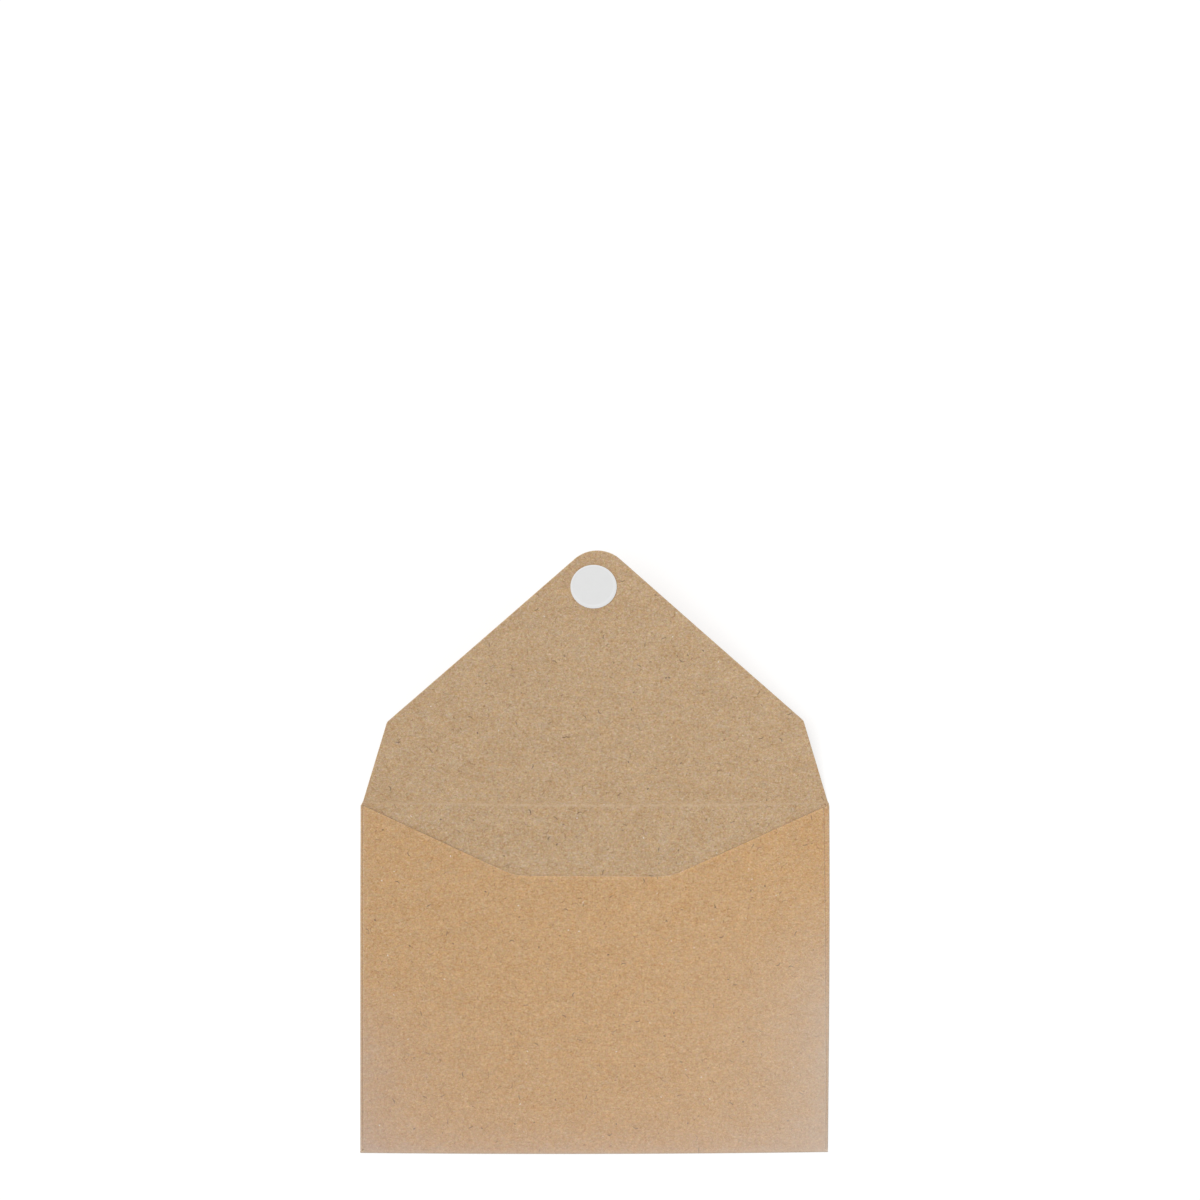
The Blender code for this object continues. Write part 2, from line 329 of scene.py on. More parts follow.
def sheet(name, corners, place, blank, materials, thickness=PAPER, cuts_x=None, cuts_y=None):
    """A piece of the sheet. place(x, y, height) says where a flat point goes, blank(x, y) its place on
    the flat blank. The materials are those of the upper face, the lower face and the cut edge."""
    points, cut = rounded(corners)
    lower = [(inset, height) for inset, height in edge_profile() if height < thickness / 2]
    upper = [(inset, thickness - height) for inset, height in reversed(lower)]
    rings = []
    for inset, height in lower + upper:
        rings.append([(*point, height) for point in drawn_in(points, cut, inset)])
    shape = bmesh.new()
    add_rings(shape, rings)
    bmesh.ops.remove_doubles(shape, verts=shape.verts, dist=SAME_PLACE)
    xs = [point.x for point in points]
    ys = [point.y for point in points]
    slice_at(shape, cuts_x or steps_between(min(xs), max(xs), SURFACE_STEP), 0)
    slice_at(shape, cuts_y or steps_between(min(ys), max(ys), SURFACE_STEP), 1)
    bmesh.ops.remove_doubles(shape, verts=shape.verts, dist=SAME_PLACE)
    bmesh.ops.dissolve_degenerate(shape, edges=shape.edges, dist=SAME_PLACE)
    layer = shape.loops.layers.uv.new("blank")
    for face in shape.faces:
        heights = [vert.co.z for vert in face.verts]
        face.material_index = 2
        if min(heights) > thickness - SAME_PLACE:
            face.material_index = 0
        elif max(heights) < SAME_PLACE:
            face.material_index = 1
        for loop in face.loops:
            loop[layer].uv = blank(loop.vert.co.x, loop.vert.co.y)
    for vert in shape.verts:
        vert.co = place(*vert.co)
    return finish_mesh(name, shape, materials)


def turned(name, profile, place, blank, material):
    """A disc from a profile of (radius, height) in millimetres, low middle first, high middle last."""
    shape = bmesh.new()
    layer = shape.loops.layers.uv.new("blank")
    rings = []
    for radius, height in profile:
        ring = []
        for step in range(DISC_STEPS if radius > 0 else 1):
            angle = 2 * math.pi * step / DISC_STEPS
            x = radius * MM * math.cos(angle)
            y = radius * MM * math.sin(angle)
            ring.append(shape.verts.new((x, y, height * MM)))
        rings.append(ring)
    for low, high in zip(rings, rings[1:]):
        for step in range(DISC_STEPS):
            follow = (step + 1) % DISC_STEPS
            corners = [
                low[step % len(low)],
                low[follow % len(low)],
                high[follow % len(high)],
                high[step % len(high)],
            ]
            shape.faces.new(list(dict.fromkeys(corners)))
    for face in shape.faces:
        for loop in face.loops:
            loop[layer].uv = blank(loop.vert.co.x, loop.vert.co.y)
    for vert in shape.verts:
        vert.co = place(*vert.co)
    return finish_mesh(name, shape, [material])


# Where the pieces of the sheet go

def eased(value):
    value = min(max(value, 0.0), 1.0)
    return value * value * (3 - 2 * value)


def settled(x, y, z):
    """The body's slight taper and bow, the same for all its pieces. They fade out at the crease."""
    down = max(CREASE_Y - y, 0.0) / (CREASE_Y - BOTTOM_Y)
    below_crease = eased((CREASE_Y - y) / CREASE_FOOT)
    outward = x / HALF_WIDTH
    right_bow = math.sin(math.pi * min(down, 1.0) ** RIGHT_BOW_SKEW)
    right_in = RIGHT_INSET * below_crease + RIGHT_TAPER * down - RIGHT_BOW * right_bow
    flared = LEFT_HEAD_SHARE * below_crease + (1 - LEFT_HEAD_SHARE) * eased(LEFT_PACE * down)
    left_out = LEFT_FLARE * flared
    x += left_out * min(outward, 0.0) - right_in * max(outward, 0.0)
    y += (BOTTOM_RISE + BOTTOM_TILT * outward) * down
    y -= BOTTOM_BOW * (1 - outward * outward) * eased(down)
    return x, y, z


def bead(x, along):
    """Height of the crease's pressed bead at a place along the blank, from the crease line."""
    middle = BEAD_LOW + BEAD_BOW * (x - BEAD_MIDDLE_X) ** 2
    reach = abs(along - middle) / BEAD_HALF_WIDTH
    return BEAD_HEIGHT * eased(1 - reach)


def back_place(x, y, height):
    lift = bead(x, y - CREASE_Y) * height / PAPER
    return settled(x, y, height + lift)


def slope_and_start(first, second):
    """The line through two points, as its slope and its height where x is zero."""
    slope = (second[1] - first[1]) / (second[0] - first[0])
    return slope, first[1] - slope * first[0]


# The mouth's edge lies on the highest of these lines
LIP_LINES = [
    slope_and_start((POCKET_LEFT_X, POCKET_LEFT_Y), MOUTH_LEFT),
    slope_and_start(MOUTH_LEFT, MOUTH_RIGHT),
    slope_and_start(MOUTH_RIGHT, (POCKET_RIGHT_X, POCKET_RIGHT_Y)),
]


def pocket_place(x, y, height):
    """The side flaps hold the pocket up. Between them it sags towards the back panel."""
    lip = max(slope * x + start for slope, start in LIP_LINES)
    drop = max(lip - y, 0.0)
    held = eased((abs(x) - HELD_FROM_X) / HELD_RAMP)
    reach = SAG_REACH * (1 - held) + SAG_REACH_HELD * held
    depth = LIP_SAG * (1 - eased(drop / reach))
    depth *= 1 - eased((-x - SAG_LEFT_X) / SAG_LEFT_RAMP)
    depth *= 1 - SAG_RIGHT_LOSS * eased((x - SAG_RIGHT_X) / SAG_RIGHT_RAMP)
    return settled(x, y, POCKET_BASE + height - depth)


def round_fold(radius, along, height):
    """Outward reach from the fold's centre line and height, for a strip that wraps round a fold."""
    turn = math.pi * (radius - PAPER / 2)
    if along < FOLD_LEAD:
        return along - FOLD_LEAD, PAPER - height
    if along > FOLD_LEAD + turn:
        return FOLD_LEAD + turn - along, 2 * radius - PAPER + height
    angle = (along - FOLD_LEAD) / turn * math.pi
    reach = radius - PAPER + height
    return reach * math.sin(angle), radius - reach * math.cos(angle)


def crease_place(x, along, height):
    """From flat on the back panel, round the bend and up the flap."""
    height += bead(x, along) * height / PAPER
    if along > CREASE_ARC:
        return flap_point(x, along - CREASE_ARC, height)
    angle = max(along, 0.0) / CREASE_ARC * FLAP_REST_ANGLE
    reach = AXIS_HEIGHT - height
    y = CREASE_Y + reach * math.sin(angle) + min(along, 0.0)
    return settled(x, y, AXIS_HEIGHT - reach * math.cos(angle))


def flap_point(x, rise, height):
    """A place on the raised flap. The height is counted from its lower face."""
    level = height - AXIS_HEIGHT
    y = CREASE_Y + rise * math.cos(FLAP_REST_ANGLE) - level * math.sin(FLAP_REST_ANGLE)
    z = AXIS_HEIGHT + rise * math.sin(FLAP_REST_ANGLE) + level * math.cos(FLAP_REST_ANGLE)
    return x, y, z


def flap_place(x, rise, height):
    """The flap cups very slightly towards its inner face."""
    cup = math.sin(math.pi * min(max(rise / FLAP_LENGTH, 0.0), 1.0)) ** 2
    across = CUP_MEAN + CUP_SWING * math.cos(math.pi * x / HALF_WIDTH)
    return flap_point(x, rise, height + FLAP_CUP * cup * across)


def upper_blank(along):
    """Place on the blank above the crease line. The crease gets more of the blank than it fills at rest,
    so that its fibres aren't drawn out when it is bent tight."""
    within = min(max(along, 0.0), CREASE_ARC + CREASE_HEAD)
    return CREASE_Y + along + (CREASE_SPREAD - 1) * within


def pocket_blank(x, y):
    turn = math.pi * (BOTTOM_FOLD_RADIUS - PAPER / 2)
    return x, BODY_FOOT - 2 * FOLD_LEAD - turn - (y - BODY_FOOT)


# Materials

# Sockets of a mix node that mixes colours
FIRST_COLOUR = 6
SECOND_COLOUR = 7
MIXED_COLOUR = 2

# How far each seed moves the noise and the hairs
NOISE_SHIFT = (17.3, 9.1)
HAIR_SHIFT = (13.7, 5.9)


class Finish:
    """A material, with short calls that add nodes to it. An input is a number, a tuple or a socket."""

    def __init__(self, name):
        self.material = bpy.data.materials.new(name)
        self.material.use_nodes = True
        self.tree = self.material.node_tree
        self.shader = self.tree.nodes["Principled BSDF"]

    def feed(self, socket, value):
        if isinstance(value, bpy.types.NodeSocket):
            self.tree.links.new(value, socket)
        else:
            socket.default_value = value

    def node(self, kind, settings, inputs):
        node = self.tree.nodes.new(kind)
        for name, value in settings.items():
            setattr(node, name, value)
        for name, value in inputs.items():
            self.feed(node.inputs[name], value)
        return node

    def math(self, operation, first, second=0.0, clamp=False):
        settings = {"operation": operation, "use_clamp": clamp}
        return self.node("ShaderNodeMath", settings, {0: first, 1: second}).outputs[0]

    def vector(self, operation, first, second, third=(0.0, 0.0, 0.0)):
        inputs = {0: first, 1: second, 2: third}
        return self.node("ShaderNodeVectorMath", {"operation": operation}, inputs).outputs[0]

    def scaled(self, colour, factor):
        inputs = {0: colour, "Scale": factor}
        return self.node("ShaderNodeVectorMath", {"operation": "SCALE"}, inputs).outputs[0]

    def parts(self, vector):
        return self.node("ShaderNodeSeparateXYZ", {}, {0: vector}).outputs

    def ramp(self, value, start, end, low=0.0, high=1.0, kind="SMOOTHSTEP"):
        """From low to high while the value goes from start to end."""
        inputs = {"Value": value, "From Min": start, "From Max": end, "To Min": low, "To Max": high}
        return self.node("ShaderNodeMapRange", {"interpolation_type": kind}, inputs).outputs[0]

    def mix(self, factor, first, second, blend="MIX"):
        settings = {"data_type": "RGBA", "blend_type": blend}
        inputs = {0: factor, FIRST_COLOUR: first, SECOND_COLOUR: second}
        return self.node("ShaderNodeMix", settings, inputs).outputs[MIXED_COLOUR]

    def blank_place(self):
        """Place on the flat blank, in millimetres."""
        uv = self.node("ShaderNodeUVMap", {"uv_map": "blank"}, {}).outputs[0]
        return self.vector("MULTIPLY", uv, (1 / MM, 1 / MM, 0.0))

    def noise(self, place, stretch, seed, detail=2.0, distortion=0.0, coloured=False):
        """Cloudy noise about 0.5. The stretch is in features to the millimetre, across and along."""
        shift = (seed * NOISE_SHIFT[0], seed * NOISE_SHIFT[1], 0.0)
        moved = self.vector("MULTIPLY_ADD", place, (*stretch, 0.0), shift)
        settings = {"noise_dimensions": "2D"}
        inputs = {"Vector": moved, "Scale": 1.0, "Detail": detail, "Distortion": distortion}
        made = self.node("ShaderNodeTexNoise", settings, inputs)
        return made.outputs[1 if coloured else 0]

    def swing(self, value, amount):
        """Noise turned into a change about zero."""
        return self.math("MULTIPLY", self.math("SUBTRACT", value, 0.5), amount)

    def about(self, mean, value, amount, clamp=False):
        """Noise turned into a change about a mean."""
        return self.math("ADD", self.swing(value, amount), mean, clamp)

    def total(self, first, *others):
        for other in others:
            first = self.math("ADD", first, other)
        return first

    def threads(self, place, stretch, seed, distortion, thinness=8.0):
        """Long wavy fibres: thin lines where cloudy noise crosses its middle value."""
        cloud = self.noise(place, stretch, seed, 1.0, distortion)
        off = self.math("ABSOLUTE", self.math("SUBTRACT", cloud, 0.5))
        return self.math("SUBTRACT", 1.0, self.math("MULTIPLY", off, thinness), clamp=True)

    def hairs(self, place, cells, length, width, seed, spread=4.5, share=0.8, curl=1.2):
        """Short bent fibres, at most one to a cell, and a random value for each. Cells are counted to
        the millimetre. Length and width are half the fibre's, in millimetres."""
        moved = self.vector("ADD", place, (seed * HAIR_SHIFT[0], seed * HAIR_SHIFT[1], 0.0))
        inputs = {"Vector": moved, "Scale": cells}
        cell = self.node("ShaderNodeTexVoronoi", {"voronoi_dimensions": "2D"}, inputs)
        offset = self.vector("SUBTRACT", moved, cell.outputs["Position"])
        chance = self.node("ShaderNodeSeparateColor", {}, {0: cell.outputs["Color"]})
        angle = self.swing(chance.outputs[0], spread)
        settings = {"rotation_type": "Z_AXIS"}
        inputs = {"Vector": offset, "Angle": angle}
        rotated = self.node("ShaderNodeVectorRotate", settings, inputs).outputs[0]
        along, across, _ = self.parts(rotated)
        squared = self.math("MULTIPLY", along, along)
        bend = self.math("MULTIPLY", squared, self.swing(chance.outputs[1], curl / length))
        off = self.math("ABSOLUTE", self.math("ADD", across, bend))
        thin = self.math("SUBTRACT", 1.0, self.math("DIVIDE", off, width), clamp=True)
        ends = self.math("DIVIDE", squared, length * length)
        long = self.math("SUBTRACT", 1.0, self.math("MULTIPLY", ends, ends), clamp=True)
        there = self.math("LESS_THAN", chance.outputs[2], share)
        return self.math("MULTIPLY", self.math("MULTIPLY", thin, long), there), chance.outputs[1]

    def paint(self, colour, roughness):
        self.feed(self.shader.inputs["Base Color"], colour)
        self.feed(self.shader.inputs["Roughness"], roughness)

    def sheen(self, level):
        self.shader.inputs["Specular IOR Level"].default_value = level

    def relief(self, height, strength, distance):
        inputs = {"Height": height, "Strength": strength, "Distance": distance}
        self.feed(self.shader.inputs["Normal"], self.node("ShaderNodeBump", {}, inputs).outputs[0])


def tinted(colour, swing, sign):
    """The colour made lighter or darker, more in blue than in red, as paper fibres are."""
    return (*(value * (1 + sign * amount) for value, amount in zip(colour, swing)), 1.0)


# Colours of the two faces and the cut edge, and how far light and dark fibres lie apart
INNER_KRAFT = (0.512, 0.353, 0.209)
OUTER_KRAFT = (0.541, 0.331, 0.159)
INNER_SWING = (0.30, 0.42, 0.58)
OUTER_SWING = (0.33, 0.48, 0.72)
EDGE_KRAFT = (0.620, 0.450, 0.290)
# Painted shade for the cut edge on the mouth's slopes, and painted light for the cut edge low down
EDGE_PAINTED_SHADE = (0.300, 0.195, 0.110)
EDGE_PAINTED_LIGHT = (0.860, 0.740, 0.620)

# Slow changes of tone and hue over the sheet. A slant is the change to the millimetre towards the right:
# painted light, the sheet painted lighter towards the right as if lit more strongly there.
HUE_SWING = (0.13, 0.26, 0.46)
WARM_TINT = (1.08, 1.0, 0.87, 1.0)
COOL_TINT = (0.92, 1.0, 1.13, 1.0)
INNER_LIGHT_SLANT = 0.0004
OUTER_LIGHT_SLANT = 0.0006
# Painted light: the flap is painted lighter, offsetting the shade it gets from leaning away from the key
# light
FLAP_PAINTED_LIGHT = 0.080

# Pale places: the crease's pressed bead, painted sheen on the outer face, painted highlights on the fold
# crests
CREASE_PALE = (0.640, 0.480, 0.325)
PAINTED_SHEEN_LOW = (0.575, 0.500, 0.530)
PAINTED_SHEEN_RIGHT = (0.605, 0.560, 0.530)
PAINTED_SHEEN_LEFT = (0.470, 0.440, 0.500)
FOLD_PAINTED_HIGHLIGHT = (0.680, 0.545, 0.410)
CREASE_PALE_AMOUNT = 0.5
RIGHT_SHEEN_SHARE = 0.385
LEFT_SHEEN_SHARE = 0.20

# How much each kind of fibre shows, how closely the threads wave and the share of cells with a dark bit
INNER_PULP = {
    "grain": 0.82, "threads": 0.16, "hairs": 0.22, "mottle": 0.20, "wavy": 1.0, "dark_share": 0.45,
}
OUTER_PULP = {
    "grain": 0.70, "threads": 0.16, "hairs": 0.18, "mottle": 0.13, "wavy": 1.5, "dark_share": 0.32,
}
EDGE_PULP = {
    "grain": 1.0, "threads": 0.10, "hairs": 0.10, "mottle": 0.10, "wavy": 0.9, "dark_share": 0.0,
}
COARSE_SHARE = 0.5
SECOND_WAVY = 1.2
FIBRE_RELIEF = 0.35
FIBRE_HEIGHT = 0.03 * MM

# Stray bits in the pulp, turned any way
DARK_GRAINS = {"cells": 0.13, "length": 0.32, "width": 0.24, "curl": 0.5, "seed": 11}
DARK_HAIRS = {"cells": 0.14, "length": 0.75, "width": 0.18, "curl": 1.2, "seed": 12}
BROWN_SPLINTERS = {"cells": 0.30, "length": 0.36, "width": 0.19, "curl": 0.3, "seed": 13}
BROWN_HAIRS = {"cells": 0.15, "length": 1.10, "width": 0.15, "curl": 1.8, "seed": 15}
PALE_FLECKS = {"cells": 0.16, "length": 0.26, "width": 0.17, "curl": 0.3, "seed": 14}
PALE_SHARE = 0.14
ANY_WAY = 6.3
SPECK_DARK = (0.070, 0.052, 0.045)
SPECK_BROWN = (0.170, 0.080, 0.045)
SPECK_PALE = (0.850, 0.820, 0.740)
SPECK_LEAST = 0.3
SPECK_RANGE = 0.7


def fibres(finish, place, grain, threads, hairs, mottle, wavy):
    """Share of the light fibre colour, about 0.5, and the fine grain that is part of it."""
    fine = finish.noise(place, stretch=(1.8, 2.5), seed=1, detail=1.2, distortion=0.7)
    coarse = finish.noise(place, stretch=(0.8, 1.4), seed=2, distortion=0.8)
    first = finish.threads(place, stretch=(0.9, wavy), seed=3, distortion=1.6)
    second = finish.threads(place, stretch=(1.1, wavy * SECOND_WAVY), seed=4, distortion=1.8)
    pale_hair, _ = finish.hairs(place, cells=0.85, length=1.0, width=0.14, seed=5)
    dark_hair, _ = finish.hairs(place, cells=0.80, length=0.9, width=0.13, seed=6)
    cloud = finish.noise(place, stretch=(0.12, 0.16), seed=7)
    patch = finish.noise(place, stretch=(0.35, 0.5), seed=8)
    changes = [
        finish.swing(fine, grain),
        finish.swing(coarse, grain * COARSE_SHARE),
        finish.math("MULTIPLY", finish.math("SUBTRACT", first, second), threads),
        finish.math("MULTIPLY", finish.math("SUBTRACT", pale_hair, dark_hair), hairs),
        finish.swing(cloud, mottle),
        finish.swing(patch, mottle),
    ]
    return finish.total(0.5, *changes), fine


def specks(finish, place, colour, dark_share):
    """The colour with the stray bits in it, each of its own strength up to its kind's most."""
    kinds = [
        (DARK_GRAINS, dark_share, 1.00, SPECK_DARK),
        (DARK_HAIRS, dark_share, 0.95, SPECK_DARK),
        (BROWN_SPLINTERS, dark_share, 0.70, SPECK_BROWN),
        (BROWN_HAIRS, dark_share, 0.70, SPECK_BROWN),
        (PALE_FLECKS, PALE_SHARE, 1.00, SPECK_PALE),
    ]
    for bits, share, most, tint in kinds:
        bit, chance = finish.hairs(place, spread=ANY_WAY, share=share, **bits)
        strength = finish.math("MULTIPLY", chance, SPECK_RANGE * most)
        strength = finish.math("ADD", strength, SPECK_LEAST * most)
        colour = finish.mix(finish.math("MULTIPLY", bit, strength), colour, (*tint, 1.0))
    return colour


def kraft(finish, base, swing, light_slant, grain, threads, hairs, mottle, wavy, dark_share):
    """Paper of mixed fibres, with painted light that makes it a little lighter towards the right edge of
    the sheet.
    """
    place = finish.blank_place()
    share, fine = fibres(finish, place, grain, threads, hairs, mottle, wavy)
    clamped = finish.math("ADD", share, 0.0, clamp=True)
    colour = finish.mix(clamped, tinted(base, swing, -1), tinted(base, swing, 1))
    warm = finish.noise(place, stretch=(0.33, 0.66), seed=9, detail=3.0, distortion=0.8)
    tint = finish.mix(warm, WARM_TINT, COOL_TINT)
    colour = finish.mix(1.0, colour, tint, "MULTIPLY")
    hue = finish.noise(place, stretch=(1.3, 1.8), seed=10, detail=1.5, coloured=True)
    hue = finish.vector("MULTIPLY_ADD", hue, HUE_SWING, tuple(1 - amount / 2 for amount in HUE_SWING))
    colour = finish.mix(1.0, colour, hue, "MULTIPLY")
    # Painted light: the colour grows lighter towards the right, as if lit more strongly there
    painted_light_gain = finish.vector("MULTIPLY_ADD", place, (light_slant, 0.0, 0.0), (1.0, 0.0, 0.0))
    colour = finish.scaled(colour, finish.parts(painted_light_gain)[0])
    finish.relief(finish.math("ADD", share, fine), FIBRE_RELIEF, FIBRE_HEIGHT)
    return place, specks(finish, place, colour, dark_share)


def inner_kraft():
    """The sheet's inner face: greyer, painted lighter on the flap to offset the shade of its tilt away
    from the light, and pale along the crease's pressed bead.
    """
    finish = Finish("kraft_inner_face")
    place, colour = kraft(finish, INNER_KRAFT, INNER_SWING, INNER_LIGHT_SLANT, **INNER_PULP)
    x, y, _ = finish.parts(place)
    crease_y = CREASE_Y / MM
    flap_y = upper_blank(CREASE_ARC) / MM
    # Painted light: lighter on the flap, offsetting the shade of its tilt
    painted_light_gain = finish.ramp(y, start=crease_y, end=flap_y, low=1.0, high=1.0 + FLAP_PAINTED_LIGHT, kind="LINEAR")
    colour = finish.scaled(colour, painted_light_gain)
    from_middle = finish.math("ADD", x, -BEAD_MIDDLE_X / MM)
    bowed = finish.math("MULTIPLY", finish.math("MULTIPLY", from_middle, from_middle), BEAD_BOW * MM)
    line = finish.math("ADD", bowed, (CREASE_Y + BEAD_LOW) / MM)
    off = finish.math("ABSOLUTE", finish.math("SUBTRACT", y, line))
    pale = finish.math("SUBTRACT", 1.0, finish.math("DIVIDE", off, BEAD_HALF_WIDTH / MM), clamp=True)
    cloud = finish.noise(place, stretch=(0.35, 1.2), seed=21, detail=3.0)
    broken = finish.about(0.75, cloud, amount=1.6, clamp=True)
    # The colour is made paler along the crease's pressed bead
    pale_amount = finish.math("MULTIPLY", finish.math("MULTIPLY", pale, broken), CREASE_PALE_AMOUNT)
    colour = finish.mix(pale_amount, colour, (*CREASE_PALE, 1.0))
    cloud = finish.noise(place, stretch=(0.6, 0.9), seed=22)
    finish.paint(colour, roughness=finish.about(0.86, cloud, amount=0.15))
    finish.sheen(0.25)
    return finish.material


def painted_falloff(finish, distance, reach, most):
    """Full at a distance of zero, falling off over the reach, in millimetres."""
    fade = finish.math("EXPONENT", finish.math("DIVIDE", distance, -reach))
    return finish.math("MULTIPLY", fade, most)


def above_fold(finish, y):
    """Distance along the sheet from the middle of the bottom fold, in millimetres."""
    fold = BOTTOM_FOLD_Y - math.pi / 2 * (BOTTOM_FOLD_RADIUS - PAPER / 2)
    return finish.math("ABSOLUTE", finish.math("SUBTRACT", y, fold / MM))


def near_lip(finish, x, y):
    """One at the mouth's edge and zero further down the pocket."""
    lip = None
    for slope, start in LIP_LINES:
        inputs = {0: x, 1: slope, 2: start / MM}
        line = finish.node("ShaderNodeMath", {"operation": "MULTIPLY_ADD"}, inputs).outputs[0]
        lip = finish.math("MAXIMUM", lip, line) if lip else line
    drop = finish.total(lip, y, -pocket_blank(0, 0)[1] / MM)
    return finish.ramp(drop, start=1.2, end=0.4)


def lip_highlight(finish, x, y, colour):
    """The mouth's edge is painted a little paler, a painted highlight where the light catches it, least
    on its left slope.
    """
    near = near_lip(finish, x, y)
    most = finish.ramp(x, start=-24.0, end=30.0, low=0.055, high=0.09, kind="LINEAR")
    gain = finish.math("ADD", finish.math("MULTIPLY", near, most), 1.0)
    return finish.scaled(colour, gain)


def outer_kraft():
    """The sheet's outer face, warmer and streaked, with a painted pale sheen towards the lower edge and
    corners and painted highlights on the fold crests.
    """
    finish = Finish("kraft_outer_face")
    place, colour = kraft(finish, OUTER_KRAFT, OUTER_SWING, OUTER_LIGHT_SLANT, **OUTER_PULP)
    x, y, _ = finish.parts(place)
    rise = above_fold(finish, y)
    to_right = finish.math("ABSOLUTE", finish.math("SUBTRACT", x, HALF_WIDTH / MM))
    to_left = finish.math("ABSOLUTE", finish.math("ADD", x, HALF_WIDTH / MM))
    # Painted sheen: pale, bluish mixes towards the lower edge and the sides stand in for a lamp's
    # reflection
    foot = painted_falloff(finish, rise, reach=5.1, most=0.165)
    lower = painted_falloff(finish, rise, reach=30.0, most=0.07)
    right = painted_falloff(finish, to_right, reach=16.6, most=finish.ramp(rise, start=75.0, end=28.0))
    left = painted_falloff(finish, to_left, reach=12.0, most=finish.ramp(rise, start=52.0, end=20.0))
    # Painted highlights: the fold crests are painted paler, standing for light on the rounded folds
    bottom_crest = painted_falloff(finish, rise, reach=0.5, most=0.55)
    right_crest = painted_falloff(finish, to_right, reach=0.5, most=0.30)
    left_crest = painted_falloff(finish, to_left, reach=0.6, most=0.35)
    cloud = finish.noise(place, stretch=(0.25, 0.3), seed=23, detail=3.0)
    patchy = finish.about(1.0, cloud, amount=0.5)
    painted_light_marks = [
        (finish.math("ADD", foot, lower), PAINTED_SHEEN_LOW),
        (finish.math("MULTIPLY", right, RIGHT_SHEEN_SHARE), PAINTED_SHEEN_RIGHT),
        (finish.math("MULTIPLY", left, LEFT_SHEEN_SHARE), PAINTED_SHEEN_LEFT),
        (finish.total(bottom_crest, right_crest, left_crest), FOLD_PAINTED_HIGHLIGHT),
    ]
    for amount, tint in painted_light_marks:
        colour = finish.mix(finish.math("MULTIPLY", amount, patchy, clamp=True), colour, (*tint, 1.0))
    colour = lip_highlight(finish, x, y, colour)
    cloud = finish.noise(place, stretch=(0.6, 1.2), seed=24)
    finish.paint(colour, roughness=finish.about(0.68, cloud, amount=0.2))
    finish.sheen(0.4)
    return finish.material


def cut_kraft():
    """The cut edge, paler with torn fibres, with painted shade on the mouth's slopes and painted light
    low down, most on the right.
    """
    finish = Finish("kraft_cut_edge")
    place, colour = kraft(finish, EDGE_KRAFT, INNER_SWING, INNER_LIGHT_SLANT, **EDGE_PULP)
    x, y, _ = finish.parts(place)
    mouth = pocket_blank(0, MOUTH_LEFT[1])[1] / MM
    # Painted shade: the cut edge darkens on the mouth's slopes, where the lip stands off the back panel
    painted_shade = finish.ramp(y, start=mouth - 1.0, end=mouth - 6.0, high=0.6)
    painted_shade = finish.math("MULTIPLY", painted_shade, near_lip(finish, x, y))
    colour = finish.mix(painted_shade, colour, (*EDGE_PAINTED_SHADE, 1.0))
    # Painted light: the cut edge is painted paler low down, most on the right, where it faces away from
    # the light
    low = finish.ramp(above_fold(finish, y), start=80.0, end=25.0)
    pale_amount = finish.ramp(x, start=-50.0, end=50.0, low=0.12, high=0.9, kind="LINEAR")
    colour = finish.mix(finish.math("MULTIPLY", low, pale_amount), colour, (*EDGE_PAINTED_LIGHT, 1.0))
    cloud = finish.noise(place, stretch=(1.5, 1.5), seed=25)
    finish.paint(colour, roughness=finish.about(0.9, cloud, amount=0.1))
    finish.sheen(0.2)
    return finish.material


# Smooth materials: coarse and fine clouds, and how deep they press into the surface
CLOUD_SHARE = 0.7
FINE_SHARE = 0.3
FINE_STRETCH = 6
CLOUD_GLOSS = 0.12
CLOUD_HEIGHT = 0.02 * MM

# The liner's rim, where no adhesive lies under it, starts and ends at these radii in millimetres. Its
# whiter tint is partly a painted highlight.
LINER_WHITE = (0.826, 0.829, 0.828)
RIM_HIGHLIGHT_WHITE = (0.865, 0.868, 0.872)
RIM_START = 4.95
RIM_END = 5.35
RIM_SHARE = 0.6

SEAM_COLOUR = (0.62, 0.52, 0.36)
DOT_COLOUR = (0.76, 0.72, 0.62)


def plain_finish(name, colour, swing, roughness, stretch, relief):
    """A smooth material with faint clouds in its colour, its gloss and its surface."""
    finish = Finish(name)
    place = finish.blank_place()
    cloud = finish.noise(place, stretch, seed=31, detail=3.0)
    fine_stretch = (stretch[0] * FINE_STRETCH, stretch[1] * FINE_STRETCH)
    fine = finish.noise(place, fine_stretch, seed=32)
    both = finish.math("ADD", finish.swing(cloud, CLOUD_SHARE), finish.swing(fine, FINE_SHARE))
    share = finish.math("ADD", both, 0.5, clamp=True)
    light = (*(value * (1 + swing) for value in colour), 1.0)
    dark = (*(value * (1 - swing) for value in colour), 1.0)
    finish.paint(finish.mix(share, dark, light), finish.about(roughness, cloud, CLOUD_GLOSS))
    finish.relief(finish.math("ADD", cloud, fine), relief, CLOUD_HEIGHT)
    return finish


